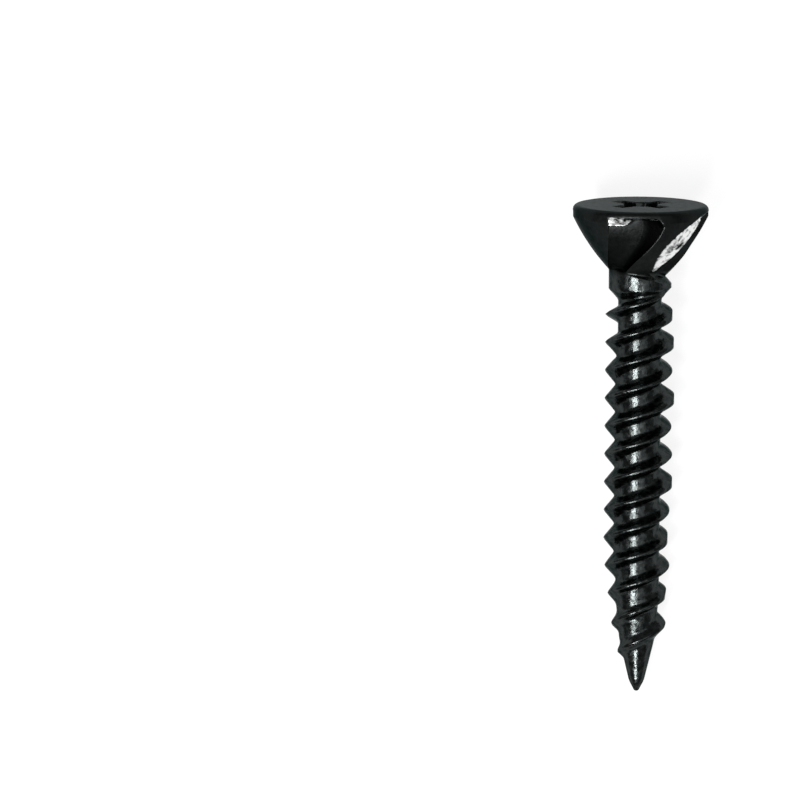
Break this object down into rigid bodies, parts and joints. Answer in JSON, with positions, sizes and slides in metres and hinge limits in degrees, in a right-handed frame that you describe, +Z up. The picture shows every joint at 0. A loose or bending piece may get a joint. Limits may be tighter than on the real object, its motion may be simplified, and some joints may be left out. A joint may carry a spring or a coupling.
{
  "type": "drywall screw",
  "caption": "Black drywall screw with a flat countersunk head, pockets under the head, a cross recess, a sharp point and a fine twin-start right-hand thread.",
  "frame": {"origin": "on the floor, under the centre of the screw's bounding box as it lies", "axes": "+X from the head towards the point, +Z up from the floor; the screw's own axis lies in the XZ plane and leans 5.58 degrees down towards the point"},
  "size_m": [0.0302, 0.0082, 0.0083],
  "materials": {
    "black_phosphate_steel": "black phosphate, oiled, glossy"
  },
  "bodies": {
    "root": {"drywall_screw": "black_phosphate_steel"}
  },
  "joints": []
}
